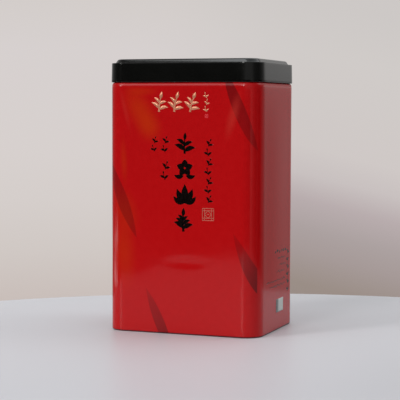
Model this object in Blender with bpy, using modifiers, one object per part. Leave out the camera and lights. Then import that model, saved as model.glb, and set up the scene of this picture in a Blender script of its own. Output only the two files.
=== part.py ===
"""A rectangular tea tin: a printed body on a pressed base, a slip lid, and a plug lid with a pull ring."""
import math

import bmesh
import bpy

MM = 0.001

# Driving dimensions
BODY_WIDTH = 100 * MM        # along X, over the wall
BODY_DEPTH = 77 * MM         # along Y, over the wall
TOTAL_HEIGHT = 170 * MM
CORNER_RADIUS = 11 * MM
SHEET = 0.3 * MM             # tinplate, with its lacquer and print
GAP = 0.3 * MM               # between pieces that touch
FOLD_RADIUS = 0.2 * MM       # of the mid-surface, where an edge is folded flat on itself

# Body
FOOT_RADIUS = 1 * MM         # outside, at the rolled foot
FOOT_RING = 3.4 * MM         # how far the foot turns in under the base
SHOULDER_HEIGHT = 155.3 * MM
SHOULDER_RADIUS = 1 * MM
NECK_INSET = 1.5 * MM        # from the wall's outside to the neck's outside
CURL_RADIUS = 0.55 * MM      # outside of the neck's rolled edge
CURL_TOP = 165.6 * MM

# Base
BASE_RISE = 1.3 * MM         # of the centre above the edge

# Slip lid
LID_FOOT = 155.65 * MM
LID_LEDGE = 167.55 * MM
LEDGE_RADIUS = 0.45 * MM     # outside, where the skirt meets the ledge
LEDGE_WIDTH = 2.2 * MM
SLOPE_RUN = 1.8 * MM
SLOPE_CREST = 0.6 * MM       # length of the rounded top of the slope
LID_OVERHANG = 0.35 * MM     # past the body, at the skirt's foot
SKIRT_FLARE = 0.25 * MM
HEM_HEIGHT = 1.2 * MM

# Plug lid
FLANGE_INSET = 0.75 * MM
FLANGE_WIDTH = 1.3 * MM      # of the layer folded back on top
FLANGE_BEND = 0.5 * MM       # where the flange turns down into the wall
FLOOR_HEIGHT = 153.65 * MM   # top of its floor
PLUG_FILLET = 1.2 * MM
BEAD_INSET = 6 * MM          # stiffening bead, from the wall's outside
BEAD_HEIGHT = 0.7 * MM

# Pull ring and its strap
RING_WIRE = 1 * MM           # radius
RING_RADIUS = 13 * MM        # to the wire's centre
RING_BEND = 2.5 * MM
RING_Y = 5 * MM              # the hinge line
RING_SEGMENTS = 24
STRAP_WIDTH = 6 * MM
STRAP_SHEET = 0.5 * MM
STRAP_FOOT = 6.2 * MM
RIVET_OFFSET = 5 * MM        # from the hinge line
STRAP_BEND = 0.5 * MM        # where a leg turns out into its foot
RIVET_RADIUS = 0.9 * MM
RIVET_HEAD = 1.7 * MM
HEAD_HEIGHT = 0.6 * MM
TAIL_HEIGHT = 0.36 * MM      # of the head under the floor
DRILL_DEPTH = 4 * MM

CORNER_STEPS = 6
HALF = SHEET / 2


def arc(centre, radius, start, end, steps):
    """Points on an arc in a section plane, with angles in degrees."""
    angles = [math.radians(start + (end - start) * i / steps) for i in range(steps + 1)]
    return [(centre[0] + radius * math.cos(a), centre[1] + radius * math.sin(a)) for a in angles]


def rounded_rectangle(width, depth, radius):
    """The tin's outline from above, counterclockwise."""
    points = []
    for quarter, (side_x, side_y) in enumerate(((1, 1), (-1, 1), (-1, -1), (1, -1))):
        centre = (side_x * (width / 2 - radius), side_y * (depth / 2 - radius))
        points += arc(centre, radius, 90 * quarter, 90 * quarter + 90, CORNER_STEPS)
    return points


def make_material(name, colour, roughness, metallic):
    material = bpy.data.materials.new(name)
    material.use_nodes = True
    shader = material.node_tree.nodes["Principled BSDF"]
    shader.inputs["Base Color"].default_value = (*colour, 1)
    shader.inputs["Roughness"].default_value = roughness
    shader.inputs["Metallic"].default_value = metallic
    return material


def add_object(name, data, collection, material=None):
    obj = bpy.data.objects.new(name, data)
    collection.objects.link(obj)
    if material:
        data.materials.append(material)
    return obj


def poly_curve(name, points, closed):
    curve = bpy.data.curves.new(name, "CURVE")
    spline = curve.splines.new("POLY")
    spline.points.add(len(points) - 1)
    for point, place in zip(spline.points, points):
        point.co = (*place, 0, 1) if len(place) == 2 else (*place, 1)
    spline.use_cyclic_u = closed
    return curve


def shade(mesh):
    mesh.shade_smooth()
    mesh.set_sharp_from_angle(angle=math.radians(35))


def swept_mesh(name, section):
    """Sweep a section of (inset, height) points around the tin's outline, as an open surface."""
    profile_curve = poly_curve("section", section, False)
    profile_curve.dimensions = "2D"
    profile = add_object("section", profile_curve, bpy.context.scene.collection)
    path_curve = poly_curve("outline", rounded_rectangle(BODY_WIDTH, BODY_DEPTH, CORNER_RADIUS), True)
    path_curve.dimensions = "2D"
    path_curve.fill_mode = "NONE"
    path_curve.bevel_mode = "OBJECT"
    path_curve.bevel_object = profile
    path = add_object("outline", path_curve, bpy.context.scene.collection)
    evaluated = path.evaluated_get(bpy.context.evaluated_depsgraph_get())
    mesh = bpy.data.meshes.new_from_object(evaluated)
    mesh.name = name
    bpy.data.objects.remove(path)
    bpy.data.objects.remove(profile)
    return mesh


def close_centre(mesh, inset):
    """Fill the hole inside the section's last ring, which is inset from the outline."""
    bm = bmesh.new()
    bm.from_mesh(mesh)
    reach_x = BODY_WIDTH / 2 - inset + GAP / 10
    reach_y = BODY_DEPTH / 2 - inset + GAP / 10
    inner = {v for v in bm.verts if abs(v.co.x) < reach_x and abs(v.co.y) < reach_y}
    rim = [e for e in bm.edges if e.is_boundary and inner.issuperset(e.verts)]
    bmesh.ops.contextual_create(bm, geom=rim)
    bmesh.ops.recalc_face_normals(bm, faces=bm.faces)
    bm.to_mesh(mesh)
    bm.free()


def pressed_sheet(name, section, collection, material, filled):
    """A piece of tinplate whose mid-surface follows the section."""
    mesh = swept_mesh(name, section)
    if filled:
        close_centre(mesh, section[-1][0])
    shade(mesh)
    obj = add_object(name, mesh, collection, material)
    thickness = obj.modifiers.new("tinplate", "SOLIDIFY")
    thickness.thickness = SHEET
    thickness.offset = 0
    thickness.use_even_offset = True
    return obj


def make_body_wall(collection, material):
    """The printed wrap: rolled foot, side wall, shoulder, neck and curled edge."""
    foot_arc = FOOT_RADIUS - HALF
    shoulder_arc = SHOULDER_RADIUS - HALF
    neck = NECK_INSET + HALF
    inner_arc = neck - SHOULDER_RADIUS
    shoulder = SHOULDER_HEIGHT - HALF
    curl_arc = CURL_RADIUS - HALF
    curl_centre = (neck - curl_arc, CURL_TOP - CURL_RADIUS)
    section = [(FOOT_RING, HALF)]
    section += arc((FOOT_RADIUS, FOOT_RADIUS), foot_arc, 270, 180, 4)
    section += arc((SHOULDER_RADIUS, shoulder - shoulder_arc), shoulder_arc, 180, 90, 4)
    section += arc((SHOULDER_RADIUS, shoulder + inner_arc), inner_arc, 270, 360, 3)[1:]
    section += arc(curl_centre, curl_arc, 0, 270, 8)
    return pressed_sheet("body_wall", section, collection, material, False)


def make_base_panel(collection, material):
    """The pressed bottom, standing on the rolled foot, with its centre raised."""
    edge = SHEET + GAP + HALF
    bend = 2 * SHEET
    floor = SHEET + GAP + HALF
    step = FOOT_RING + 1 * MM
    section = [(edge, floor + BASE_RISE)]
    section += arc((edge + bend, floor + bend), bend, 180, 270, 3)
    section += [(step, floor), (step + BASE_RISE, floor + BASE_RISE)]
    return pressed_sheet("base_panel", section, collection, material, True)


def make_lid(collection, material):
    """The slip lid: hemmed skirt, ledge, sloping step and raised panel."""
    edge_arc = LEDGE_RADIUS - HALF
    foot = HALF - LID_OVERHANG
    top = foot + SKIRT_FLARE
    ledge = LID_LEDGE - HALF
    panel = TOTAL_HEIGHT - HALF
    slope = LEDGE_WIDTH + SLOPE_RUN
    section = [(foot + 2 * FOLD_RADIUS, LID_FOOT + HEM_HEIGHT)]
    section += arc((foot + FOLD_RADIUS, LID_FOOT + HALF + FOLD_RADIUS), FOLD_RADIUS, 360, 180, 4)
    section += arc((top + edge_arc, ledge - edge_arc), edge_arc, 180, 90, 3)
    section += [(LEDGE_WIDTH, ledge), (slope - SLOPE_CREST, panel - 0.75 * SLOPE_CREST)]
    section += [(slope, panel - SLOPE_CREST / 6), (slope + 4 / 3 * SLOPE_CREST, panel)]
    return pressed_sheet("lid", section, collection, material, True)


def make_inner_lid(collection, material, cutters):
    """The plug lid: folded flange on the neck's edge, a wall inside the neck, and a beaded floor."""
    flange = CURL_TOP + GAP + HALF
    wall = NECK_INSET + SHEET + GAP + HALF
    floor = FLOOR_HEIGHT - HALF
    fillet = PLUG_FILLET
    bead = [(BEAD_INSET, floor), (BEAD_INSET + BEAD_HEIGHT, floor + BEAD_HEIGHT)]
    bead += [(BEAD_INSET + 3 * BEAD_HEIGHT, floor + BEAD_HEIGHT), (BEAD_INSET + 4 * BEAD_HEIGHT, floor)]
    fold_centre = (FLANGE_INSET + HALF + FOLD_RADIUS, flange + FOLD_RADIUS)
    section = [(FLANGE_INSET + FLANGE_WIDTH, flange + 2 * FOLD_RADIUS)]
    section += arc(fold_centre, FOLD_RADIUS, 90, 270, 4)
    section += arc((wall - FLANGE_BEND, flange - FLANGE_BEND), FLANGE_BEND, 90, 0, 3)
    section += arc((wall + fillet, floor + fillet), fillet, 180, 270, 4)
    section += bead
    obj = pressed_sheet("inner_lid", section, collection, material, True)
    for side in (-1, 1):
        drill(obj, (0, RING_Y + side * RIVET_OFFSET, floor), cutters)
    return obj


def drill(obj, place, cutters):
    """Cut a rivet hole through a piece."""
    bm = bmesh.new()
    radius = RIVET_RADIUS + GAP
    bmesh.ops.create_cone(bm, cap_ends=True, segments=16, radius1=radius, radius2=radius, depth=DRILL_DEPTH)
    mesh = bpy.data.meshes.new("rivet_hole")
    bm.to_mesh(mesh)
    bm.free()
    cutter = add_object("rivet_hole", mesh, cutters)
    cutter.location = place
    cutter.hide_render = True
    cutter.display_type = "WIRE"
    cut = obj.modifiers.new("rivet_hole", "BOOLEAN")
    cut.object = cutter
    cut.operation = "DIFFERENCE"
    cut.solver = "EXACT"


def make_ring(collection, material, axle_height):
    """The folding ring: a D of wire, lying flat towards the front, with its origin on the hinge line."""
    corner = math.asin(RING_BEND / (RING_RADIUS - RING_BEND))
    corner_x = (RING_RADIUS - RING_BEND) * math.cos(corner)
    turn = 180 + math.degrees(corner)
    points = arc((0, 0), RING_RADIUS, turn, 540 - turn, RING_SEGMENTS)
    points += arc((corner_x, -RING_BEND), RING_BEND, -math.degrees(corner), 90, 5)[1:]
    points += arc((-corner_x, -RING_BEND), RING_BEND, 90, turn, 5)[:-1]
    curve = poly_curve("pull_ring", points, True)
    curve.dimensions = "3D"
    curve.bevel_depth = RING_WIRE
    curve.bevel_resolution = 3
    obj = add_object("pull_ring", curve, collection, material)
    obj.location = (0, RING_Y, axle_height)
    return obj


def make_strap(collection, material, axle_height, cutters):
    """The strap that holds the ring: a strip bent over the wire, with a foot on each side."""
    loop = RING_WIRE + GAP + STRAP_SHEET / 2
    foot = FLOOR_HEIGHT + GAP + STRAP_SHEET / 2 - axle_height
    side = arc((loop + STRAP_BEND, foot + STRAP_BEND), STRAP_BEND, 270, 180, 3)
    section = [(-STRAP_FOOT - loop, foot)]
    section += [(-y, z) for y, z in side]
    section += arc((0, 0), loop, 180, 0, 8)
    section += side[::-1]
    section += [(STRAP_FOOT + loop, foot)]
    bm = bmesh.new()
    vertices = [bm.verts.new((-STRAP_WIDTH / 2, y, z)) for y, z in section]
    edges = [bm.edges.new(pair) for pair in zip(vertices, vertices[1:])]
    strip = bmesh.ops.extrude_edge_only(bm, edges=edges)["geom"]
    far_side = [item for item in strip if isinstance(item, bmesh.types.BMVert)]
    bmesh.ops.translate(bm, verts=far_side, vec=(STRAP_WIDTH, 0, 0))
    bmesh.ops.recalc_face_normals(bm, faces=bm.faces)
    mesh = bpy.data.meshes.new("ring_clip")
    bm.to_mesh(mesh)
    bm.free()
    shade(mesh)
    obj = add_object("ring_clip", mesh, collection, material)
    obj.location = (0, RING_Y, axle_height)
    thickness = obj.modifiers.new("strip", "SOLIDIFY")
    thickness.thickness = STRAP_SHEET
    thickness.offset = 0
    thickness.use_even_offset = True
    for way in (-1, 1):
        drill(obj, (0, RING_Y + way * RIVET_OFFSET, FLOOR_HEIGHT), cutters)
    return obj


def make_rivet(name, y, collection, material):
    """A turned rivet with a head above the strap and one under the floor."""
    seat = FLOOR_HEIGHT + GAP + STRAP_SHEET + GAP
    under = FLOOR_HEIGHT - SHEET - GAP
    turns = [math.radians(15 * step) for step in range(7)]
    profile = [(RIVET_HEAD * math.sin(a), seat + HEAD_HEIGHT * math.cos(a)) for a in turns]
    profile += [(RIVET_RADIUS, seat), (RIVET_RADIUS, under), (RIVET_HEAD, under)]
    profile += [(RIVET_HEAD * 0.9, under - TAIL_HEIGHT), (0, under - TAIL_HEIGHT)]
    mesh = bpy.data.meshes.new(name)
    mesh.from_pydata([(r, 0, z) for r, z in profile], [(i, i + 1) for i in range(len(profile) - 1)], [])
    obj = add_object(name, mesh, collection, material)
    obj.location = (0, y, 0)
    turn = obj.modifiers.new("turn", "SCREW")
    turn.steps = 16
    turn.render_steps = 16
    turn.use_merge_vertices = True
    turn.merge_threshold = 0.00001
    return obj


def make_tin():
    for obj in list(bpy.data.objects):
        bpy.data.objects.remove(obj)
    tin = bpy.data.collections.new("tea_tin")
    cutters = bpy.data.collections.new("cutters")
    bpy.context.scene.collection.children.link(tin)
    bpy.context.scene.collection.children.link(cutters)

    red_print = make_material("red_print", (0.39, 0.004, 0.006), 0.15, 0.0)
    black_lacquer = make_material("black_lacquer", (0.005, 0.005, 0.005), 0.25, 0.0)
    base_plate = make_material("base_tinplate", (0.72, 0.71, 0.68), 0.35, 1.0)
    plug_plate = make_material("plug_tinplate", (0.76, 0.75, 0.72), 0.3, 1.0)
    wire_plate = make_material("wire_tinplate", (0.7, 0.7, 0.7), 0.25, 1.0)
    strap_plate = make_material("strap_tinplate", (0.74, 0.73, 0.7), 0.3, 1.0)
    rivet_metal = make_material("rivet_metal", (0.8, 0.8, 0.82), 0.3, 1.0)

    axle_height = FLOOR_HEIGHT + GAP + RING_WIRE
    make_body_wall(tin, red_print)
    make_base_panel(tin, base_plate)
    make_lid(tin, black_lacquer)
    make_inner_lid(tin, plug_plate, cutters)
    make_ring(tin, wire_plate, axle_height)
    make_strap(tin, strap_plate, axle_height, cutters)
    make_rivet("clip_rivet_front", RING_Y - RIVET_OFFSET, tin, rivet_metal)
    make_rivet("clip_rivet_back", RING_Y + RIVET_OFFSET, tin, rivet_metal)


make_tin()
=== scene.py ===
"""Looks of a rectangular tea tin: printed wall, pressed base, plug lid with its ring, and slip lid."""

import math

import bmesh
import bpy
from mathutils import Matrix, Vector


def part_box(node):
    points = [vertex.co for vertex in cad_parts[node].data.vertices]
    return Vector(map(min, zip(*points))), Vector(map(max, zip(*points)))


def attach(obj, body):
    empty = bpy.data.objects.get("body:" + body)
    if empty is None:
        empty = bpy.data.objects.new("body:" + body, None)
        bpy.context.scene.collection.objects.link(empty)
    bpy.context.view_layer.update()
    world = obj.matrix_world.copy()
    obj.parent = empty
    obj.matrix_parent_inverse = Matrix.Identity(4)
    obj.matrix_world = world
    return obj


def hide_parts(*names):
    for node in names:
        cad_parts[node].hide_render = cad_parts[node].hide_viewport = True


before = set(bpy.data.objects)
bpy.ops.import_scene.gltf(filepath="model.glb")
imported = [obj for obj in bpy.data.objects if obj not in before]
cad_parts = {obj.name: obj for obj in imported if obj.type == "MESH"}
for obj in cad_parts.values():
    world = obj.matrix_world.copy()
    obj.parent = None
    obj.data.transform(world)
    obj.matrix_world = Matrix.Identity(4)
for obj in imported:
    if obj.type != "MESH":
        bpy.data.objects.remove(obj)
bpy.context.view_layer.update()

# ---------------------------------------------------------------------------------------------
# Body wall. One strip of printed tinplate, wrapped round a former with 11 mm corners and closed
# by a lock seam. The foot is rolled inward, and the neck is drawn in and its edge is curled.
# ---------------------------------------------------------------------------------------------
MM = 0.001
SHEET = 0.3 * MM
half = SHEET / 2
CORNER = 11 * MM
CORNER_STEPS = 16

HALF_WIDTH, HALF_DEPTH, CURL_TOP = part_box("body_wall")[1]
WALL_TOP = 155.3 * MM       # where the shoulder turns in to the neck
NECK_INSET = 1.5 * MM


def arc(centre, radius, start, end, steps):
    """Points on an arc of a section, with angles in degrees."""
    turn = [math.radians(start + (end - start) * i / steps) for i in range(steps + 1)]
    return [(centre[0] + radius * math.cos(a), centre[1] + radius * math.sin(a)) for a in turn]


def run(start, end, steps):
    """Even points from start to end, with the first one left out."""
    return [tuple(a + (b - a) * i / steps for a, b in zip(start, end)) for i in range(1, steps + 1)]


def pull(bm, edges, way, steps):
    """Extrude a chain of edges along a straight way."""
    for _ in range(steps):
        made = bmesh.ops.extrude_edge_only(bm, edges=edges)["geom"]
        edges = [e for e in made if isinstance(e, bmesh.types.BMEdge)]
        moved = [v for v in made if isinstance(v, bmesh.types.BMVert)]
        bmesh.ops.translate(bm, verts=moved, vec=way / steps)


def press(section, front_steps, side_steps):
    """Carry a section of (inset, height) points round the tin's outline, a quarter at a time."""
    bm = bmesh.new()
    corner = Vector((HALF_WIDTH - CORNER, CORNER - HALF_DEPTH, 0))
    chain = [bm.verts.new((corner.x, inset - HALF_DEPTH, height)) for inset, height in section]
    first = [bm.edges.new(pair) for pair in zip(chain, chain[1:])]
    turned = bmesh.ops.spin(
        bm, geom=chain + first, cent=corner, axis=(0, 0, 1), dvec=(0, 0, 0),
        angle=math.pi / 2, steps=CORNER_STEPS, use_merge=False, use_duplicate=False)["geom_last"]
    last = [e for e in turned if isinstance(e, bmesh.types.BMEdge)]
    pull(bm, first, Vector((-corner.x, 0, 0)), front_steps)
    pull(bm, last, Vector((0, -corner.y, 0)), side_steps)
    for axis in ("X", "Y"):
        everything = bm.verts[:] + bm.edges[:] + bm.faces[:]
        bmesh.ops.mirror(bm, geom=everything, matrix=Matrix(), merge_dist=0.01 * MM, axis=axis)
    bmesh.ops.remove_doubles(bm, verts=bm.verts, dist=0.001 * MM)
    return bm


def close_middle(bm, inset):
    """Fill the opening inside the last ring, with a narrow flat border that keeps the bend crisp."""
    across, along = HALF_WIDTH - inset + 0.01 * MM, HALF_DEPTH - inset + 0.01 * MM
    inner = {v for v in bm.verts if abs(v.co.x) < across and abs(v.co.y) < along}
    rim = [e for e in bm.edges if e.is_boundary and inner.issuperset(e.verts)]
    middle = bmesh.ops.contextual_create(bm, geom=rim)["faces"]
    bmesh.ops.inset_region(bm, faces=middle, thickness=0.4 * MM, use_even_offset=True)


def put_in_scene(name, data):
    """Add an object to the scene for a mesh, a curve, a light or a camera."""
    thing = bpy.data.objects.new(name, data)
    bpy.context.scene.collection.objects.link(thing)
    return thing


def make_solid(name, bm, materials, angle):
    """Turn a bmesh into an object that is smooth up to an angle between its faces."""
    mesh = bpy.data.meshes.new(name)
    bm.to_mesh(mesh)
    bm.free()
    for material in materials:
        mesh.materials.append(material)
    mesh.shade_smooth()
    mesh.set_sharp_from_angle(angle=math.radians(angle))
    return put_in_scene(name, mesh)


def make_piece(name, bm, body, node=None, materials=(), angle=35):
    """Turn a bmesh into a piece that rides on a body and may stand for a node."""
    bmesh.ops.recalc_face_normals(bm, faces=bm.faces)
    outermost = max(bm.faces, key=lambda face: face.calc_center_median().x)
    if outermost.normal.x < 0:
        bmesh.ops.reverse_faces(bm, faces=bm.faces)
    piece = make_solid(name, bm, materials, angle)
    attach(piece, body)
    if node:
        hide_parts(node)
    return piece


def thicken(piece, thickness=SHEET):
    """Give a pressed surface its sheet on both sides. The inside takes the next material."""
    sheet = piece.modifiers.new("sheet", "SOLIDIFY")
    sheet.thickness = thickness
    sheet.offset = 0
    sheet.use_even_offset = True
    sheet.material_offset = 1
    sheet.material_offset_rim = 1


FRONT_BOW = 0.1 * MM      # the wide walls are drawn in a little
SIDE_BOW = -0.2 * MM      # and the narrow ones stand out
# Shallow handling dents in the front wall: place, spread and depth.
DENTS = (((4 * MM, 44.5 * MM), (7 * MM, 2 * MM), 0.11 * MM),
         ((-35 * MM, 53 * MM), (13 * MM, 14 * MM), 0.38 * MM))


def bow_of(bow, across, height, half_run):
    """How far a wall is drawn in at a place on it: most in the middle, nothing at its edges."""
    u = min(abs(across) / half_run, 1)
    w = min(abs(height - WALL_TOP / 2) / (WALL_TOP / 2 - 2 * MM), 1)
    return bow * (1 - u * u) ** 2 * (1 - w ** 4) ** 2


def dents_at(x, z):
    """Depth of the dents at a place on the front."""
    depth = 0.0
    for place, spread, deep in DENTS:
        u, w = (x - place[0]) / spread[0], (z - place[1]) / spread[1]
        depth += deep * math.exp(-(u * u + w * w) / 2)
    return depth


def front_inset(x, z):
    """Inset of the front wall at a place, with its dents."""
    return bow_of(FRONT_BOW, x, z, HALF_WIDTH - CORNER) + dents_at(x, z)


def node_maker(material):
    """A short way to add and link nodes in a material."""
    tree = material.node_tree

    def add(kind, *links, out=0, **settings):
        node = tree.nodes.new("ShaderNode" + kind)
        for key, value in settings.items():
            setattr(node, key, value)
        for socket, source in zip(node.inputs, links):
            if isinstance(source, bpy.types.NodeSocket):
                tree.links.new(source, socket)
            elif source is not None:
                socket.default_value = source
        return node.outputs[out]

    return add


def new_material(name, colour, roughness, metallic=0.0, ior=1.5):
    """A material with its shader and its node maker."""
    material = bpy.data.materials.new(name)
    material.use_nodes = True
    shader = material.node_tree.nodes["Principled BSDF"]
    shader.inputs["Base Color"].default_value = (*colour, 1)
    shader.inputs["Roughness"].default_value = roughness
    shader.inputs["Metallic"].default_value = metallic
    shader.inputs["IOR"].default_value = ior
    return material, shader, node_maker(material)


def maths(add, operation, *values):
    """One step of arithmetic on values in a material."""
    return add("Math", *values, operation=operation)


def smooth_range(add, value, low, high, to_low=0.0, to_high=1.0):
    """Ease a value from one range to another."""
    return add("MapRange", value, low, high, to_low, to_high, interpolation_type="SMOOTHSTEP")


def bump(material, add, shader, height, distance, under=None):
    """Feed a height to the shader's normal, over another bump if there is one."""
    tree = material.node_tree
    node = tree.nodes.new("ShaderNodeBump")
    node.inputs["Distance"].default_value = distance
    tree.links.new(height, node.inputs["Height"])
    if under:
        tree.links.new(under, node.inputs["Normal"])
    tree.links.new(node.outputs["Normal"], shader.inputs["Normal"])
    return node.outputs["Normal"]


def mix_colour(add, factor, first, second):
    """Mix two colours by a factor."""
    node = add("Mix", factor, data_type="RGBA").node
    for socket, source in ((node.inputs[6], first), (node.inputs[7], second)):
        if isinstance(source, bpy.types.NodeSocket):
            node.id_data.links.new(source, socket)
        else:
            socket.default_value = (*source, 1)
    return node.outputs[2]


# Leaves of shadow in the print: top tip, low tip and width in mm, and how dark each tip is.
LEAF_SHADOWS = (
    ((27, 163.5), (48, 114), 7.6, 0.72, 0.36),
    ((-49.6, 107.6), (-29.7, 59), 7.6, 0.5, 0.36),
    ((34, 63.8), (56, 16.5), 7.4, 0.22, 0.95),
    ((-23.3, 28), (-4.1, -16), 6.5, 0.28, 0.8),
)
# Painted warm reflections in the print colour: centre and half sizes in mm, slant in degrees, and strength.
PAINTED_WARM_REFLECTIONS = (
    ((-26, 150), (11, 3.2), 0, 0.32), ((-26.5, 137), (8.6, 18), 32, 0.55), ((-21, 127.5), (9, 9), 0, 0.3),
    ((-38.2, 107), (2.6, 15), 3, 0.3), ((-38, 50), (8, 24), 4, 0.38), ((-37, 76), (9, 16), 20, 0.28),
)
# Painted highlights in the print colour, listed the same way.
PAINTED_HIGHLIGHTS = (((-37.5, 139), (1.8, 15), 15, 0.28), ((33.5, 135), (3.6, 15), -16, 0.48))
LEAF_BLUR = 0.25 * MM
PANEL_EDGE = 34 * MM        # farther out than this, a place belongs to the front or the back wall


def leaf_shadow(add, flat, start, end, wide, top_strength, low_strength):
    """A leaf of shadow, which is the lens where two circles cross. It fades from tip to tip."""
    start, end, wide = Vector(start) * MM, Vector(end) * MM, wide * MM
    long = (end - start).length
    along = (end - start) / long
    across = Vector((-along.y, along.x))
    radius = (long * long / 4 + wide * wide / 4) / wide
    reach = []
    for side in (-1, 1):
        centre = (start + end) / 2 + across * side * (radius - wide / 2)
        reach.append(add("VectorMath", flat, (centre.x, 0, centre.y), out=1, operation="DISTANCE"))
    rim = maths(add, "SUBTRACT", maths(add, "MAXIMUM", *reach), radius)
    inside = smooth_range(add, rim, -LEAF_BLUR, LEAF_BLUR, 1.0, 0.0)
    from_start = add("VectorMath", flat, (start.x, 0, start.y), operation="SUBTRACT")
    way = add("VectorMath", from_start, (along.x, 0, along.y), out=1, operation="DOT_PRODUCT")
    fade = add("MapRange", way, 0.0, long, top_strength, low_strength)
    return maths(add, "MULTIPLY", inside, fade)


def soft_oval(add, flat, middle, spread, slant, strength):
    """A soft oval of painted light, full in its middle and gone a little past its half sizes."""
    turn = math.radians(slant)
    offset = add("VectorMath", flat, (middle[0] * MM, 0, middle[1] * MM), operation="SUBTRACT")
    reach = []
    for way, size in (((math.cos(turn), 0, math.sin(turn)), spread[0]),
                      ((-math.sin(turn), 0, math.cos(turn)), spread[1])):
        scaled = tuple(Vector(way) / (size * MM))
        reach.append(add("VectorMath", offset, scaled, out=1, operation="DOT_PRODUCT"))
    distance = add("VectorMath", add("CombineXYZ", *reach, 0.0), out=1, operation="LENGTH")
    return smooth_range(add, distance, 0.0, 1.25, strength, 0.0)


def gather(add, operation, fields, on_panel):
    """Join fields two at a time, and keep them to the front and back panels."""
    total = fields[0]
    for field in fields[1:]:
        total = maths(add, operation, total, field)
    return maths(add, "MULTIPLY", total, on_panel)


def make_print():
    """Glossy red litho print with leaf shadows under a clear varnish, and painted reflections, highlights and
    foot shade in its colour.
    """
    material, shader, add = new_material("red_print", (0.4, 0.004, 0.006), 0.085, ior=1.305)
    links = material.node_tree.links
    place = add("TexCoord", out=3)
    x, y, z = (add("SeparateXYZ", place, out=i) for i in range(3))
    facing = maths(add, "SIGN", maths(add, "MULTIPLY", y, -1.0))
    flat = add("CombineXYZ", maths(add, "MULTIPLY", x, facing), 0.0, z)
    on_panel = smooth_range(add, maths(add, "ABSOLUTE", y), PANEL_EDGE - 0.4 * MM, PANEL_EDGE)
    shadow = gather(add, "MAXIMUM", [leaf_shadow(add, flat, *leaf) for leaf in LEAF_SHADOWS], on_panel)
    # Painted reflections: warm ovals of light gathered over the front and back panels.
    painted_warm_reflection = gather(add, "ADD", [soft_oval(add, flat, *glow) for glow in PAINTED_WARM_REFLECTIONS], on_panel)
    # Painted highlights: pale ovals gathered over the panels.
    painted_highlight = gather(add, "ADD", [soft_oval(add, flat, *glow) for glow in PAINTED_HIGHLIGHTS], on_panel)

    mottle = smooth_range(add, add("TexNoise", place, None, 260.0, 3.0, 0.5), 0.3, 0.7)
    red = mix_colour(add, mottle, (0.375, 0.0033, 0.0045), (0.39, 0.0042, 0.0053))
    # Painted reflection: the warm ovals are mixed into the red.
    warm = mix_colour(add, painted_warm_reflection, red, (0.43, 0.029, 0.003))
    dark = mix_colour(add, shadow, warm, (0.06, 0.004, 0.005))
    # Painted highlight: the pale ovals are mixed over the print.
    pale = mix_colour(add, painted_highlight, dark, (0.44, 0.03, 0.022))
    # Painted shade: the print darkens over its lowest millimetre, along the line where the foot meets the
    # table.
    foot_shade_and_scuff = smooth_range(add, z, 0.55 * MM, 1.15 * MM, 0.85, 0.0)
    links.new(mix_colour(add, foot_shade_and_scuff, pale, (0.02, 0.003, 0.006)), shader.inputs["Base Color"])

    gloss = smooth_range(add, add("TexNoise", place, None, 45.0, 4.0, 0.6), 0.3, 0.75, 0.07, 0.1)
    # The slip lid rubs the shoulder dull, and hands that grip the narrow walls dull them a little.
    rubbed = smooth_range(add, z, 153.2 * MM, 154.0 * MM, 0.0, 0.24)
    handled = smooth_range(add, maths(add, "ABSOLUTE", x), HALF_WIDTH - 2 * MM, HALF_WIDTH - MM, 0.0, 0.05)
    # The painted foot shade band is also made a little duller, as a scuffed foot is.
    dull = maths(add, "ADD", maths(add, "ADD", rubbed, handled), maths(add, "MULTIPLY", foot_shade_and_scuff, 0.4))
    links.new(maths(add, "ADD", gloss, dull), shader.inputs["Roughness"])
    waves = add("TexNoise", place, None, 28.0, 1.0, 0.4)
    peel = add("TexNoise", place, None, 900.0, 2.0, 0.5)
    soft = bump(material, add, shader, waves, 0.04 * MM)
    bump(material, add, shader, peel, 0.004 * MM, soft)
    return material


def make_tinplate(name, colour, roughness, grain=(1.0, 1.0, 14.0)):
    """Bare tinplate: a soft rolled grain, faint spangle and dull handling marks."""
    material, shader, add = new_material(name, colour, roughness, 1.0)
    tree = material.node_tree
    place = add("TexCoord", out=3)
    stretched = add("Mapping", place, None, None, grain)
    lines = add("TexNoise", stretched, None, 420.0, 5.0, 0.65)
    cloud = add("TexNoise", place, None, 60.0, 4.0, 0.55)
    tint = mix_colour(add, cloud, tuple(c * 0.86 for c in colour), tuple(min(1, c * 1.08) for c in colour))
    tree.links.new(tint, shader.inputs["Base Color"])
    level = maths(add, "ADD", maths(add, "MULTIPLY", lines, 0.1), maths(add, "MULTIPLY", cloud, 0.1))
    tree.links.new(maths(add, "ADD", level, roughness - 0.1), shader.inputs["Roughness"])
    bump(material, add, shader, lines, 0.0012 * MM)
    return material


red_print = make_print()
bare_tin = make_tinplate("bare_tinplate", (0.74, 0.72, 0.68), 0.32)

BEND = 1 * MM               # outside radius of the rolled foot and of the shoulder
SHOULDER_STRETCH = 3.2      # the shoulder runs down this much further than a round bend would
foot = arc((BEND, BEND), BEND - half, 270, 180, 6)
shoulder_top = WALL_TOP - half
shoulder = [(inset, shoulder_top - SHOULDER_STRETCH * (shoulder_top - height))
            for inset, height in arc((BEND, WALL_TOP - BEND), BEND - half, 180, 90, 8)]
neck_bend = NECK_INSET + half - BEND
CURL_RADIUS = 0.4 * MM
curl_middle = (NECK_INSET + half - CURL_RADIUS, CURL_TOP - half - CURL_RADIUS)
wall_section = [(3.4 * MM, half), (2.6 * MM, half), (1.8 * MM, half)] + foot
for height, steps in ((36 * MM, 16), (56 * MM, 24), (shoulder[0][1], 42)):
    wall_section += run(wall_section[-1], (foot[-1][0], height), steps)
wall_section += shoulder[1:]
wall_section += arc((BEND, shoulder_top + neck_bend), neck_bend, 270, 360, 5)[1:]
wall_section += run(wall_section[-1], (NECK_INSET + half, curl_middle[1]), 4)
wall_section += arc(curl_middle, CURL_RADIUS, 0, 270, 12)[1:]

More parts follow.
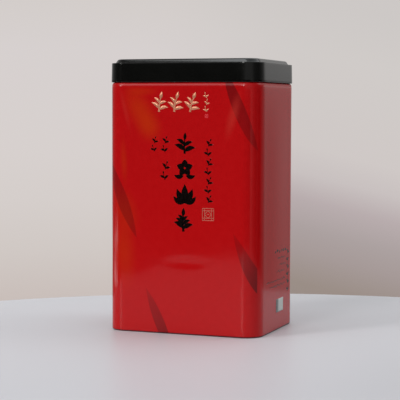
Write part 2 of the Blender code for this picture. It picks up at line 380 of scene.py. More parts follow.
bm = press(wall_section, 22, 15)
for v in bm.verts:
    x, y, z = v.co
    if z >= shoulder_top:
        continue
    if abs(y) > HALF_DEPTH - CORNER:
        v.co.y += dents_at(x, z) if y < 0 else 0
        if abs(x) < HALF_WIDTH - CORNER:
            v.co.y -= math.copysign(1, y) * bow_of(FRONT_BOW, x, z, HALF_WIDTH - CORNER)
    elif abs(x) > HALF_WIDTH - SHEET:
        v.co.x -= math.copysign(1, x) * bow_of(SIDE_BOW, y, z, HALF_DEPTH - CORNER)
for face in bm.faces:
    face.material_index = 1 if face.calc_center_median().z > WALL_TOP + 0.05 * MM else 0
wall = make_piece("body_wall_printed", bm, "tin_body", "body_wall",
                  (red_print, bare_tin, bare_tin))
thicken(wall)

# ---------------------------------------------------------------------------------------------
# Artwork on the front and back, printed over the red. Shoots, a blossom and a lotus in black ink run
# down the middle, with small shoots beside them. The crest above is embossed and inked in pale gold,
# with a rose stamp under its column, and a gold fret closes the right column.
# ---------------------------------------------------------------------------------------------
INK = 0.015 * MM
EMBOSS_ROOT = 0.1 * MM      # how deep a raised stroke goes into the sheet, short of its inside


def leaf(x, z, angle, length, wide, bend=0.0):
    """A leaf drawn with one stroke: a narrow stalk, a full belly and a pointed tip."""
    a = math.radians(angle)
    along, aside = Vector((math.cos(a), math.sin(a))), Vector((-math.sin(a), math.cos(a)))
    parts = ((0, 0.16), (0.12, 0.5), (0.34, 1.0), (0.6, 0.94), (0.84, 0.46), (1.0, 0.03))
    points = []
    for part, full in parts:
        place = Vector((x, z)) + along * length * part + aside * length * bend * math.sin(math.pi * part)
        points.append((place.x, place.y, wide * full))
    return points


def stem(points, wide):
    """A stem drawn through a few points, pressed at its start and lifted at its end."""
    last = len(points) - 1
    return [(x, z, wide * (1.15 - 0.7 * i / last)) for i, (x, z) in enumerate(points)]


def front_surface(x, z):
    """A place on the front wall, and the way that it faces."""
    return Vector((x, front_inset(x, z) - HALF_DEPTH, z)), Vector((0, -1, 0))


def side_surface(y, z):
    """A place on the right wall, and the way that it faces."""
    return Vector((HALF_WIDTH - bow_of(SIDE_BOW, y, z, HALF_DEPTH - CORNER), y, z)), Vector((1, 0, 0))


def lay_strokes(name, strokes, material, relief=0.0, half_turn=False, resolution=3,
                surface=front_surface):
    """Lay strokes on a wall, as an even film of ink or as a domed relief with ink on it."""
    curve = bpy.data.curves.new(name, "CURVE")
    curve.dimensions = "3D"
    curve.bevel_depth = 1.0
    curve.bevel_resolution = 2
    curve.resolution_u = resolution
    curve.use_fill_caps = True
    for stroke in strokes:
        spline = curve.splines.new("NURBS")
        spline.points.add(len(stroke) - 1)
        spline.order_u = 3
        spline.use_endpoint_u = True
        for point, (across, up, wide) in zip(spline.points, stroke):
            point.co = (across * MM, 0, up * MM, 1)
            point.radius = wide / 2 * MM
    guide = put_in_scene(name, curve)
    mesh = bpy.data.meshes.new_from_object(guide.evaluated_get(bpy.context.evaluated_depsgraph_get()))
    bpy.data.objects.remove(guide)
    bm = bmesh.new()
    bm.from_mesh(mesh)
    bpy.data.meshes.remove(mesh)
    bmesh.ops.remove_doubles(bm, verts=bm.verts, dist=0.002 * MM)
    for v in bm.verts:
        spot, outward = surface(v.co.x, v.co.z)
        if relief:
            rise = max(-EMBOSS_ROOT, -v.co.y * relief / MM)
        else:
            rise = max(-INK, min(INK, -v.co.y * 4))
        v.co = spot + outward * rise
    if half_turn:
        bmesh.ops.rotate(bm, verts=bm.verts, cent=(0, 0, 0), matrix=Matrix.Rotation(math.pi, 3, "Z"))
    bmesh.ops.recalc_face_normals(bm, faces=bm.faces)
    piece = make_solid(name, bm, (material,), 60)
    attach(piece, "tin_body")


def make_ink(name, colour, roughness, metallic=0.0, grain=1500.0):
    """Printing ink under varnish: slightly uneven in density, as it sinks into the coat under it."""
    material, shader, add = new_material(name, colour, roughness, metallic, 1.34)
    tree = material.node_tree
    place = add("TexCoord", out=3)
    patches = add("TexNoise", place, None, grain, 4.0, 0.6)
    light = tuple(min(1.0, c * 1.18 + 0.002) for c in colour)
    tree.links.new(mix_colour(add, smooth_range(add, patches, 0.3, 0.7), colour, light),
                   shader.inputs["Base Color"])
    tree.links.new(smooth_range(add, patches, 0.2, 0.8, roughness * 0.8, roughness * 1.25),
                   shader.inputs["Roughness"])
    bump(material, add, shader, patches, 0.006 * MM)
    return material


black_ink = make_ink("black_ink", (0.0022, 0.0008, 0.0006), 0.1)
pale_gold = make_ink("pale_gold", (0.48, 0.2, 0.115), 0.3, 0.35, 2600.0)
seal_gold = make_ink("seal_gold", (0.34, 0.082, 0.055), 0.3, 0.2)
rose_ink = make_ink("rose_ink", (0.54, 0.045, 0.052), 0.1)


def shoot(x, z, tall, lean=0, pairs=2, spread=62, reach=0.56, full=0.42):
    """A shoot: a curved stem with pairs of broad leaves that arch over, and a bud at its tip."""
    heading = math.radians(90 - lean)
    up = Vector((math.cos(heading), math.sin(heading)))
    aside = Vector((-up.y, up.x))

    def on_stem(part):
        return Vector((x, z)) + up * tall * part + aside * tall * 0.07 * math.sin(math.pi * part)

    strokes = [stem([on_stem(part) for part in (0, 0.25, 0.5, 0.72)], 0.1 * tall),
               leaf(*on_stem(0.64), 90 - lean, 0.38 * tall, 0.17 * tall)]
    for pair in range(pairs):
        length = reach * tall * (1 - 0.17 * pair)
        for side in (1, -1):
            joint = on_stem(0.12 + (0.5 * pair + 0.05 * side) / pairs)
            angle = 90 - lean + side * (spread - 8 * pair)
            strokes.append(leaf(*joint, angle, length, full * length, -0.15 * side))
    return strokes


def blossom(x, z, size):
    """Five broad petals round an open eye."""
    strokes = []
    for petal in range(5):
        a = math.radians(90 + 72 * petal)
        strokes.append(leaf(x + 0.1 * size * math.cos(a), z + 0.1 * size * math.sin(a), 90 + 72 * petal,
                            0.9 * size, 0.74 * size))
    return strokes


def lotus(x, z, tall, petals=5, spread=124):
    """An open flower from the side: full petals that rise from one foot, the middle one longest."""
    strokes = []
    for number in range(petals):
        part = 2 * number / (petals - 1) - 1
        length = tall * (1 - 0.26 * abs(part))
        strokes.append(leaf(x, z, 90 - spread / 2 * part, length, 0.42 * length, -0.16 * part))
    return strokes


main_sprigs = shoot(2.4, 111.8, 12.8, 5, 2, 66, 0.58)
main_sprigs += blossom(2.4, 103.0, 5.5)
main_sprigs += [leaf(1.6, 98.4, 178, 6.2, 2.8, 0.16), leaf(3.2, 98.4, 2, 6.2, 2.8, -0.16)]
main_sprigs += lotus(2.4, 81.7, 11.4)
main_sprigs += shoot(1.6, 63.9, 14.4, 4, 3, 62, 0.5)

small_sprigs = []
columns = [(-17.6, (120.3, 115.2), 4.4), (-10.6, (120.4, 115.0), 4.8), (-10.6, (104.8, 98.4), 5.6),
           (17.8, (119.0, 113.0, 107.2, 101.4, 95.8, 90.2, 84.6), 5.0)]
for number, (x, heights, size) in enumerate(columns):
    for place, z in enumerate(heights):
        small_sprigs += shoot(x, z - size / 2, size, 16 * (-1) ** place + 3 * number, 1, 58, 0.62, 0.46)

crest = []
for x, lean in ((-14.6, 12), (-4.6, 16), (5.8, 20)):
    crest += shoot(x, 137.4, 12.4, lean, 2, 64, 0.5, 0.36)
for z, lean in ((145.8, -14), (141.6, 12), (137.4, -12)):
    crest += shoot(16.5, z, 3.9, lean, 1, 58, 0.6, 0.4)

FRET_X, FRET_Z, FRET_HALF = 17.7, 74.9, 3.7
fret_bars = (
    ((-1, -1), (1, -1)), ((1, -1), (1, 1)), ((1, 1), (-1, 1)), ((-1, 1), (-1, -1)),
    ((-0.62, -1), (-0.62, 1)), ((0.62, -1), (0.62, 1)), ((-1, 0.62), (1, 0.62)),
    ((-1, -0.62), (1, -0.62)), ((-0.62, 0), (0, 0.62)), ((0, 0.62), (0.62, 0)),
    ((0.62, 0), (0, -0.62)), ((0, -0.62), (-0.62, 0)), ((-0.2, 0), (0.2, 0)))
fret = []
for (x0, z0), (x1, z1) in fret_bars:
    fret.append([(FRET_X + FRET_HALF * (x0 + (x1 - x0) * t), FRET_Z + FRET_HALF * (z0 + (z1 - z0) * t), 0.42)
                 for t in (0, 0.33, 0.67, 1)])
STAMP_X, STAMP_Z = 16.5, 134.9
stamp = [[(STAMP_X + 0.85 * x, STAMP_Z + 0.95 * z, 0.36) for x, z in bar] for bar in (
    ((-1, -1), (0, -1), (1, -1)), ((1, -1), (1, 0), (1, 1)), ((1, 1), (0, 1), (-1, 1)),
    ((-1, 1), (-1, 0), (-1, -1)), ((-0.4, 0.4), (0, 0), (0.4, -0.4)), ((-0.4, -0.4), (0, 0), (0.4, 0.4)))]

for side, half_turn in (("front", False), ("back", True)):
    lay_strokes(f"ink_sprigs_{side}", main_sprigs, black_ink, half_turn=half_turn, resolution=6)
    lay_strokes(f"small_sprigs_{side}", small_sprigs, black_ink, half_turn=half_turn)
    lay_strokes(f"rose_stamp_{side}", stamp, rose_ink, half_turn=half_turn)
    lay_strokes(f"gold_crest_{side}", crest, pale_gold, 0.36 * MM, half_turn, 6)
    lay_strokes(f"gold_fret_{side}", fret, seal_gold, 0.16 * MM, half_turn)

# ---------------------------------------------------------------------------------------------
# Ornament on the right wall: rows of fine leaf dashes, a column of small sprigs, and a pale patch
# with a woven pattern, all printed.
# ---------------------------------------------------------------------------------------------
rows = []
for z, start, end, size in ((49.6, -5.0, 16.5, 2.3), (45.2, 1.0, 16.5, 1.3), (41.0, 5.0, 16.5, 1.3),
                            (36.8, 0.0, 16.5, 1.3), (31.6, -21.0, 16.5, 1.3), (28.2, -14.0, 16.5, 1.3)):
    y, count = start, 0
    while y < end:
        length = size * (1.3 + 0.5 * math.sin(count * 1.9 + z))
        tilt = 8 * math.sin(count * 2.7 + z)
        rows.append(leaf(y, z + 0.3 * math.sin(count * 2.3), tilt, length, 0.8 * size, 0.1))
        y += length + 0.55 * size
        count += 1
for place in range(6):
    rows += shoot(23.0, 46.2 - 4.8 * place, 4.9, 12 * (-1) ** place, 1, 58, 0.66, 0.56)
lay_strokes("side_ornament", rows, black_ink, surface=side_surface)


PATCH_LOW, PATCH_HIGH = (-1.8 * MM, 11.2 * MM), (13.3 * MM, 19.6 * MM)      # its corners, in y and z
PATCH_SPLIT = 3.2 * MM


def make_patch():
    """A printed patch: pale basket weave beside a dark half with a lighter lattice."""
    material, shader, add = new_material("printed_patch", (0.5, 0.55, 0.52), 0.2, ior=1.34)
    place = add("TexCoord", out=3)
    y, z = add("SeparateXYZ", place, out=1), add("SeparateXYZ", place, out=2)
    pitch = 0.9 * MM
    weave_y = maths(add, "SINE", maths(add, "MULTIPLY", y, math.pi / pitch))
    weave_z = maths(add, "SINE", maths(add, "MULTIPLY", z, math.pi / pitch))
    cells = smooth_range(add, maths(add, "MULTIPLY", weave_y, weave_z), -0.25, 0.25)
    pale = mix_colour(add, cells, (0.6, 0.64, 0.62), (0.34, 0.38, 0.36))
    slant = maths(add, "SINE", maths(add, "MULTIPLY", maths(add, "ADD", y, z), math.pi / pitch))
    other = maths(add, "SINE", maths(add, "MULTIPLY", maths(add, "SUBTRACT", y, z), math.pi / pitch))
    lattice = smooth_range(add, maths(add, "MAXIMUM", slant, other), 0.8, 0.95)
    dark = mix_colour(add, lattice, (0.05, 0.055, 0.055), (0.3, 0.33, 0.32))
    halves = smooth_range(add, y, PATCH_SPLIT - 0.1 * MM, PATCH_SPLIT + 0.1 * MM)
    material.node_tree.links.new(mix_colour(add, halves, dark, pale), shader.inputs["Base Color"])
    return material


bm = bmesh.new()
bmesh.ops.create_grid(bm, x_segments=12, y_segments=6, size=0.5)
for v in bm.verts:
    y = PATCH_LOW[0] + (v.co.x + 0.5) * (PATCH_HIGH[0] - PATCH_LOW[0])
    z = PATCH_LOW[1] + (v.co.y + 0.5) * (PATCH_HIGH[1] - PATCH_LOW[1])
    spot, outward = side_surface(y, z)
    v.co = spot + outward * INK / 2
patch = make_piece("side_patch", bm, "tin_body", materials=(make_patch(),))
thicken(patch, INK)

# ---------------------------------------------------------------------------------------------
# Lock seam. The two edges of the wrap are hooked together and pressed flat down the left wall, near
# the back corner. A low ridge shows on the outside, with a step where the outer edge ends.
# ---------------------------------------------------------------------------------------------
SEAM_PLACE = 21 * MM
SEAM_WIDTH = 3.2 * MM
SEAM_PROUD = 0.16 * MM
ridge = [(-0.5, 0.0), (-0.5, 0.6), (-0.46, 0.85), (-0.36, 1.0), (0.3, 1.0), (0.4, 0.75), (0.5, 0.0)]
bm = bmesh.new()
loop = [bm.verts.new((0.05 * MM - SEAM_PROUD * proud, SEAM_PLACE + SEAM_WIDTH * across, 1.2 * MM))
        for across, proud in ridge]
edges = [bm.edges.new(pair) for pair in zip(loop, loop[1:] + loop[:1])]
pull(bm, edges, Vector((0, 0, WALL_TOP - 2.6 * MM)), 60)
for v in bm.verts:
    v.co.x -= HALF_WIDTH - bow_of(SIDE_BOW, SEAM_PLACE, v.co.z, HALF_DEPTH - CORNER)
bmesh.ops.holes_fill(bm, edges=[e for e in bm.edges if e.is_boundary])
make_piece("lock_seam", bm, "tin_body", materials=(red_print,), angle=20)

# ---------------------------------------------------------------------------------------------
# Base panel. A pressed sheet of bare tinplate, trapped above the rolled foot, with its middle raised
# so that the tin stands on the ring of the foot.
# ---------------------------------------------------------------------------------------------
base_low, base_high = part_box("base_panel")
base_edge = HALF_WIDTH - base_high[0] + half
base_floor = base_low[2] + half
base_top = base_high[2]
BASE_BEND = 0.6 * MM
base_section = [(base_edge, base_top - 0.05 * MM)]
base_section += arc((base_edge + BASE_BEND, base_floor + BASE_BEND), BASE_BEND, 180, 270, 5)
base_section += [(3.6 * MM, base_floor), (4.2 * MM, base_floor)]
base_section += [(4.6 * MM, base_floor + 0.25 * MM), (5.3 * MM, base_top - 0.45 * MM)]
base_section += [(5.7 * MM, base_top - half - 0.05 * MM), (6.4 * MM, base_top - half)]
bm = press(base_section, 3, 2)
close_middle(bm, base_section[-1][0])
base = make_piece("base_panel_pressed", bm, "tin_body", "base_panel", (bare_tin, bare_tin))
thicken(base)

# ---------------------------------------------------------------------------------------------
# Plug lid. A shallow pan of bare tinplate that drops into the neck, with a folded flange that rests
# on the curl and a raised bead that stiffens its floor.
# ---------------------------------------------------------------------------------------------
plug_low, plug_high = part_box("inner_lid")
plug_tin = make_tinplate("plug_tinplate", (0.74, 0.72, 0.68), 0.36, (14.0, 1.0, 1.0))
flange_edge = HALF_WIDTH - plug_high[0] + half
FOLD = 0.2 * MM
flange = plug_high[2] - half - 2 * FOLD
plug_wall = NECK_INSET + 2 * SHEET + half
plug_floor = plug_low[2] + half
TOP_BEND, FLOOR_BEND = 0.5 * MM, 1.2 * MM
plug_section = run((flange_edge + 1.5 * MM, flange + 2 * FOLD), (flange_edge + FOLD, flange + 2 * FOLD), 2)
plug_section += arc((flange_edge + FOLD, flange + FOLD), FOLD, 90, 270, 8)[1:]
plug_section += arc((plug_wall - TOP_BEND, flange - TOP_BEND), TOP_BEND, 90, 0, 5)
plug_section += run(plug_section[-1], (plug_wall, plug_floor + FLOOR_BEND), 5)
plug_section += arc((plug_wall + FLOOR_BEND, plug_floor + FLOOR_BEND), FLOOR_BEND, 180, 270, 6)[1:]
BEAD_START, BEAD_WIDTH, BEAD_HEIGHT = 6 * MM, 2.8 * MM, 0.7 * MM
plug_section += run(plug_section[-1], (BEAD_START, plug_floor), 2)
for step in range(1, 9):
    lift = BEAD_HEIGHT / 2 * (1 - math.cos(2 * math.pi * step / 8))
    plug_section.append((BEAD_START + BEAD_WIDTH * step / 8, plug_floor + lift))
bm = press(plug_section, 4, 3)
close_middle(bm, plug_section[-1][0])
plug = make_piece("inner_lid_pan", bm, "plug", "inner_lid", (plug_tin, plug_tin))
thicken(plug)

# ---------------------------------------------------------------------------------------------
# Pull ring. A length of bright tinned wire, bent to a D and closed with a butt joint inside its strap.
# It lies flat on the plug lid and turns up round its straight side.
# ---------------------------------------------------------------------------------------------
ring_low, ring_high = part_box("pull_ring")
WIRE = (ring_high[2] - ring_low[2]) / 2
RING = ring_high[0] - WIRE
RING_BEND = 2.5 * MM
HINGE = Vector((0, ring_high[1] - WIRE, (ring_low[2] + ring_high[2]) / 2))


def sweep(bm, ring_of, centre, turn, steps):
    """Spin an open end of wire about a vertical axis and return its new end."""
    made = bmesh.ops.spin(bm, geom=ring_of, cent=centre, axis=(0, 0, 1), dvec=(0, 0, 0), angle=turn,
                          steps=steps, use_merge=False, use_duplicate=False)["geom_last"]
    return [e for e in made if isinstance(e, bmesh.types.BMEdge)]


lean = math.asin(RING_BEND / (RING - RING_BEND))
bend_x = (RING - RING_BEND) * math.cos(lean)
bm = bmesh.new()
bmesh.ops.create_circle(bm, segments=20, radius=WIRE,
                        matrix=Matrix.Translation(HINGE) @ Matrix.Rotation(math.pi / 2, 4, "Y"))
end = bm.edges[:]
made = bmesh.ops.extrude_edge_only(bm, edges=end)["geom"]
bmesh.ops.translate(bm, verts=[v for v in made if isinstance(v, bmesh.types.BMVert)], vec=(bend_x, 0, 0))
end = [e for e in made if isinstance(e, bmesh.types.BMEdge)]
end = sweep(bm, end, HINGE + Vector((bend_x, -RING_BEND, 0)), -math.pi / 2 - lean, 12)
sweep(bm, end, HINGE, lean - math.pi / 2, 40)
bmesh.ops.mirror(bm, geom=bm.verts[:] + bm.edges[:] + bm.faces[:], matrix=Matrix(), merge_dist=0.01 * MM,
                 axis="X")
bmesh.ops.remove_doubles(bm, verts=bm.verts, dist=0.002 * MM)
ring_tin = make_tinplate("tinned_wire", (0.8, 0.79, 0.77), 0.24, (1.0, 1.0, 1.0))
make_piece("pull_ring_wire", bm, "ring", "pull_ring", (ring_tin,), 50)

# ---------------------------------------------------------------------------------------------
# Strap. A short strip of tinplate bent over the ring's straight side, with rounded feet that are held
# to the plug lid by two rivets.
# ---------------------------------------------------------------------------------------------
clip_low, clip_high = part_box("ring_clip")
STRAP = 0.5 * MM
strap_loop = clip_high[2] - HINGE.z - STRAP / 2
strap_foot = clip_low[2] + STRAP / 2 - HINGE.z
STRAP_BEND = 0.5 * MM
leg = arc((strap_loop + STRAP_BEND, strap_foot + STRAP_BEND), STRAP_BEND, 270, 180, 6)
reach = clip_high[1] - HINGE.y
strap_section = run((reach + 0.01 * MM, strap_foot), (leg[0][0], strap_foot), 8)[:-1] + leg
strap_section += arc((0, 0), strap_loop, 0, 180, 20) + [(-y, z) for y, z in leg[::-1]]
strap_section += run((-leg[0][0], strap_foot), (-reach, strap_foot), 8)
strap_half = clip_high[0]
bm = bmesh.new()
chain = [bm.verts.new(HINGE + Vector((-strap_half, y, z))) for y, z in strap_section]
pull(bm, [bm.edges.new(pair) for pair in zip(chain, chain[1:])], Vector((2 * strap_half, 0, 0)), 10)
ROUND = 2 * MM
for v in bm.verts:
    past = abs(v.co.y - HINGE.y) - (reach - ROUND)
    if past > 0:
        v.co.x *= 1 - (1 - math.sqrt(max(0.0, 1 - (past / ROUND) ** 2))) * ROUND / strap_half
strap_tin = make_tinplate("strap_tinplate", (0.76, 0.75, 0.72), 0.3, (1.0, 12.0, 1.0))
strap = make_piece("ring_strap", bm, "plug", "ring_clip", (strap_tin, strap_tin), 40)
thicken(strap, STRAP)

# ---------------------------------------------------------------------------------------------
# Rivets. Two small tinned rivets with domed heads, put down through the strap's feet and the plug
# lid's floor and headed over below.
# ---------------------------------------------------------------------------------------------
rivet_tin = make_tinplate("rivet_metal", (0.82, 0.82, 0.83), 0.26, (1.0, 1.0, 1.0))
SHANK = 0.9 * MM
RIVET_EDGE = 0.12 * MM
strap_face = HINGE.z + strap_foot + STRAP / 2 + 0.02 * MM
floor_face = plug_low[2] - 0.02 * MM
for node in ("clip_rivet_front", "clip_rivet_back"):
    low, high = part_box(node)
    x, y = (low[0] + high[0]) / 2, (low[1] + high[1]) / 2
    head = high[0] - x
    crown = high[2] - strap_face - RIVET_EDGE
    profile = [(head * math.sin(a), strap_face + RIVET_EDGE + crown * math.cos(a))
               for a in (math.pi / 2 * step / 8 for step in range(9))]
    profile += [(head * 0.97, strap_face), (SHANK, strap_face), (SHANK, floor_face), (head * 0.9, floor_face)]
    profile += [(head, floor_face - 0.08 * MM), (head * 0.85, low[2] + 0.05 * MM), (head * 0.5, low[2])]
    profile += [(0.0, low[2])]
    bm = bmesh.new()
    chain = [bm.verts.new((x + out, y, z)) for out, z in profile]
    outline = chain + [bm.edges.new(pair) for pair in zip(chain, chain[1:])]
    bmesh.ops.spin(bm, geom=outline, cent=(x, y, 0), axis=(0, 0, 1), dvec=(0, 0, 0),
                   angle=2 * math.pi, steps=32, use_merge=True, use_duplicate=False)
    bmesh.ops.remove_doubles(bm, verts=bm.verts, dist=0.002 * MM)
    make_piece(f"{node}_turned", bm, "plug", node, (rivet_tin,), 40)

# ---------------------------------------------------------------------------------------------
# Slip lid. One black lacquered pressing: a skirt with its edge hemmed inside, a narrow ledge, and a
# panel raised on a short slope. It widens slightly to its foot so that it slides over the curl.
# ---------------------------------------------------------------------------------------------
lid_low, lid_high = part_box("lid")


def make_lacquer():
    """Black stoving lacquer: faint orange peel, soft dust and small rubs."""
    material, shader, add = new_material("black_lacquer", (0.002, 0.002, 0.0018), 0.12, ior=1.38)
    tree = material.node_tree
    place = add("TexCoord", out=3)
    cloud = add("TexNoise", place, None, 38.0, 5.0, 0.6)
    tree.links.new(smooth_range(add, cloud, 0.25, 0.75, 0.1, 0.15), shader.inputs["Roughness"])
    dust = smooth_range(add, add("TexNoise", place, None, 5200.0, 2.0, 0.7), 0.68, 0.76)
    tint = mix_colour(add, dust, (0.0018, 0.0019, 0.0016), (0.014, 0.014, 0.013))
    tree.links.new(tint, shader.inputs["Base Color"])
    peel = add("TexNoise", place, None, 1100.0, 2.0, 0.5)
    bump(material, add, shader, peel, 0.006 * MM)
    return material


black_lacquer = make_lacquer()
LID_TAPER = 0.25 * MM
LEDGE_TOP = 167.55 * MM
lid_foot = HALF_WIDTH - lid_high[0] + half
lid_top = lid_foot + LID_TAPER
ledge = LEDGE_TOP - half
panel = lid_high[2] - half
HEM = 0.2 * MM
hem_inset = lid_foot + 2 * HEM
hem_bend = lid_low[2] + half + HEM
lid_section = run((hem_inset, lid_low[2] + 1.3 * MM), (hem_inset, hem_bend), 3)
lid_section += arc((lid_foot + HEM, hem_bend), HEM, 360, 180, 8)[1:]
edge = 0.2 * MM - half
lid_section += run(lid_section[-1], (lid_top, ledge - edge), 12)
lid_section += arc((lid_top + edge, ledge - edge), edge, 180, 90, 5)[1:]
lid_section += run(lid_section[-1], (2.0 * MM, ledge), 3)
lid_section += [(2.25 * MM, ledge + 0.06 * MM), (2.45 * MM, ledge + 0.22 * MM)]
lid_section += [(3.4 * MM, panel - 0.75 * MM), (3.75 * MM, panel - 0.4 * MM), (4.1 * MM, panel - 0.17 * MM)]
lid_section += [(4.55 * MM, panel - 0.04 * MM), (5.1 * MM, panel)]
bm = press(lid_section, 14, 10)
close_middle(bm, lid_section[-1][0])
lid = make_piece("slip_lid", bm, "cap", "lid", (black_lacquer, bare_tin))
thicken(lid)

# ---------------------------------------------------------------------------------------------
# Stage. A round table with a pale laminate top, with painted shade that darkens it towards the right
# and front, lit by a bright ceiling, a lamp above, two tall windows in front and a far wall behind on
# the right. The room that the tin mirrors and the wall behind it are painted on the world, and the
# camera stands to the right of the front.
# ---------------------------------------------------------------------------------------------
TABLE_RADIUS = 365 * MM
TABLE_THICK = 20 * MM
TABLE_PLACE = (99 * MM, -181 * MM, -TABLE_THICK / 2)
bm = bmesh.new()
bmesh.ops.create_cone(bm, cap_ends=True, segments=256, radius1=TABLE_RADIUS, radius2=TABLE_RADIUS,
                      depth=TABLE_THICK, matrix=Matrix.Translation(TABLE_PLACE))
rims = [e for e in bm.edges if len(e.link_faces) == 2 and e.calc_face_angle(0) > 1]
bmesh.ops.bevel(bm, geom=rims, offset=3 * MM, offset_type="OFFSET", segments=4, profile=0.5,
                affect="EDGES", material=-1)
# Painted shade: the laminate is painted darker towards the right and the front, as the camera sees them.
LAMINATE, PAINTED_SHADE_LAMINATE = (0.6, 0.6, 0.635), (0.485, 0.485, 0.515)
table_material, table_shader, add = new_material("table_laminate", LAMINATE, 0.42)
view_turn = math.radians(20.4)
right_x, right_y = math.cos(view_turn), math.sin(view_turn)
spot = add("TexCoord", out=3)
to_right = add("VectorMath", spot, (right_x, right_y, 0), out=1, operation="DOT_PRODUCT")
to_front = add("VectorMath", spot, (right_y, -right_x, 0), out=1, operation="DOT_PRODUCT")
# Painted shade: how far each place on the table is darkened.
painted_falloff = maths(add, "ADD", smooth_range(add, to_right, 0.0, 0.12, 0.0, 0.55),
             smooth_range(add, to_front, 0.05, 0.25, 0.0, 0.6))
table_material.node_tree.links.new(mix_colour(add, painted_falloff, LAMINATE, PAINTED_SHADE_LAMINATE),
                                   table_shader.inputs["Base Color"])
table = make_solid("table_top", bm, (table_material,), 25)


def area_light(name, place, aim, size, power, colour):
    """A rectangular light at a place, turned to its aim."""
    light = bpy.data.lights.new(name, "AREA")
    light.shape = "RECTANGLE"
    light.size, light.size_y = size
    light.energy = power
    light.color = colour
    lamp = put_in_scene(name, light)
    lamp.location = place
    lamp.rotation_mode = "QUATERNION"
    lamp.rotation_quaternion = (Vector(aim) - Vector(place)).to_track_quat("-Z", "Y")


area_light("ceiling", (0.4, 0.6, 1.6), (0.4, 0.6, 0), (1.8, 2.4), 14.6, (0.9, 0.96, 1.0))
area_light("lamp", (-0.36, -0.28, 1.58), (0, 0, 0), (0.34, 0.7), 3, (0.97, 0.99, 1.0))
WINDOW_DISTANCE = 2.9
for name, turn, power in (("left_window", -39, 41), ("right_window", -8, 32.5)):
    a = math.radians(turn)
    place = (WINDOW_DISTANCE * math.sin(a), -WINDOW_DISTANCE * math.cos(a), 1.35)
    area_light(name, place, (0, 0, 0.08), (0.55, 1.3), power, (1.0, 0.985, 0.975))
area_light("far_wall", (1.38, 0.65, 0.95), (0, 0, 0.08), (0.9, 0.6), 5.6, (1.0, 0.98, 0.97))

world = bpy.data.worlds.new("room")
bpy.context.scene.world = world
world.use_nodes = True
add = node_maker(world)
way = add("TexCoord")
east, north, up = (add("SeparateXYZ", way, out=i) for i in range(3))


def colour_ramp(add, factor, stops):
    """Colour along a factor, from (position, colour or warm grey level) stops."""
    out = add("ValToRGB", factor)
    ramp = out.node.color_ramp
    while len(ramp.elements) < len(stops):
        ramp.elements.new(0.5)
    for element, (position, level) in zip(ramp.elements, stops):
        colour = level if isinstance(level, tuple) else (level, level * 0.985, level * 0.97)
        element.position = position
        element.color = (*colour, 1)
    return out


# What the tin mirrors: the turn starts at -X and goes round by -Y, +X and +Y.
turn = add("TexGradient", way, gradient_type="RADIAL", out=1)
low_room = colour_ramp(add, turn, [
    (0.0, 0.14), (0.03, 0.1), (0.075, 0.05), (0.16, 0.03), (0.348, 0.03), (0.362, 0.46), (0.385, 0.42),
    (0.4, 0.22), (0.43, 0.12), (0.45, 0.03), (0.49, 0.1), (0.52, 0.0), (0.545, 0.0), (0.6, 0.28),
    (0.66, 0.27), (0.69, 0.22), (0.706, 0.4), (0.73, 0.66), (0.88, 0.5), (0.94, 0.22), (1.0, 0.14)])
high_room = colour_ramp(add, turn, [
    (0.0, 0.3), (0.03, 0.16), (0.08, 0.07), (0.16, 0.03), (0.23, 0.05), (0.27, 0.55), (0.36, 0.55),
    (0.42, 0.2), (0.5, 0.12), (0.58, 0.27), (0.63, 0.4), (0.66, 0.66), (0.7, 0.64), (0.74, 0.62),
    (0.775, 0.52), (0.85, 0.52), (0.89, 0.6), (1.0, 0.24)])
room = mix_colour(add, smooth_range(add, up, 0.0, 0.06), low_room, high_room)
room = mix_colour(add, smooth_range(add, up, -0.14, 0.02, 0.75, 1.0), (0, 0, 0), room)

# A pale blind in front shows only in the rolled shoulder of the wall.
blind = maths(add, "MULTIPLY", smooth_range(add, up, 0.12, 0.3), smooth_range(add, turn, 0.11, 0.16))
blind = maths(add, "MULTIPLY", blind, smooth_range(add, turn, 0.23, 0.28, 1.0, 0.0))
blind = maths(add, "MULTIPLY", blind, smooth_range(add, up, 0.5, 0.7, 1.0, 0.0))
room = mix_colour(add, blind, room, (0.85, 0.83, 0.84))

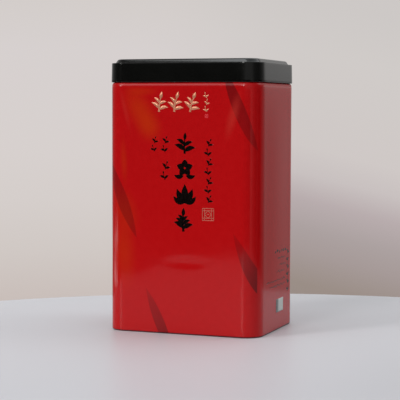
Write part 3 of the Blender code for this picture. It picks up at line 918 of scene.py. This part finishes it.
# A bright doorway low on the left shows only in the tin's corner.
doorway = maths(add, "MULTIPLY", smooth_range(add, up, -0.115, -0.111),
                smooth_range(add, up, -0.109, -0.099, 1.0, 0.0))
door_turn = math.radians(80)
to_door = (-math.sin(door_turn), -math.cos(door_turn), 0)
at_door = add("VectorMath", way, to_door, out=1, operation="DOT_PRODUCT")
doorway = maths(add, "MULTIPLY", doorway, smooth_range(add, at_door, 0.93, 0.96, 0.0, 7.0))
mirrored = add("VectorMath", room, doorway, operation="ADD")

# What the camera sees: a pale wall, with a soft shade low on the right.
across = maths(add, "ADD", maths(add, "MULTIPLY", east, right_x), maths(add, "MULTIPLY", north, right_y))
height = add("MapRange", up, -0.14, 0.08)
lit = colour_ramp(add, height, [
    (0.0, (0.578, 0.508, 0.479)), (0.175, (0.63, 0.578, 0.552)), (0.34, (0.665, 0.617, 0.597)),
    (0.5, (0.68, 0.632, 0.617)), (0.83, (0.676, 0.631, 0.624)), (1.0, (0.651, 0.61, 0.59))])
slanted = add("MapRange", maths(add, "ADD", up, maths(add, "MULTIPLY", across, 0.25)), -0.122, 0.098)
shaded = colour_ramp(add, slanted, [
    (0.0, (0.315, 0.262, 0.236)), (0.07, (0.325, 0.27, 0.24)), (0.175, (0.381, 0.323, 0.314)),
    (0.25, (0.41, 0.356, 0.352)), (0.345, (0.48, 0.415, 0.42)), (0.43, (0.58, 0.53, 0.525)),
    (0.52, (0.625, 0.58, 0.566)), (0.83, (0.63, 0.597, 0.58)), (1.0, (0.61, 0.58, 0.565))])
wall_seen = mix_colour(add, smooth_range(add, across, -0.05, 0.07), lit, shaded)
seen = mix_colour(add, add("LightPath"), mirrored, wall_seen)
world.node_tree.links.new(seen, world.node_tree.nodes["Background"].inputs["Color"])

camera_data = bpy.data.cameras.new("camera")
camera_data.lens = 124.6
camera_data.clip_start = 0.01
camera = put_in_scene("camera", camera_data)
azimuth, pitch, roll = math.radians(20.447), math.radians(3.754), math.radians(-0.173)
distance = 885.14 * MM
camera.location = (-1.886 * MM + distance * math.sin(azimuth), -distance * math.cos(azimuth), 139.07 * MM)
camera.rotation_mode = "XYZ"
turned = (Matrix.Rotation(azimuth, 4, "Z") @ Matrix.Rotation(math.pi / 2 - pitch, 4, "X")
          @ Matrix.Rotation(-roll, 4, "Z"))
camera.rotation_euler = turned.to_euler("XYZ")
bpy.context.scene.camera = camera
bpy.context.scene.view_settings.view_transform = "Standard"
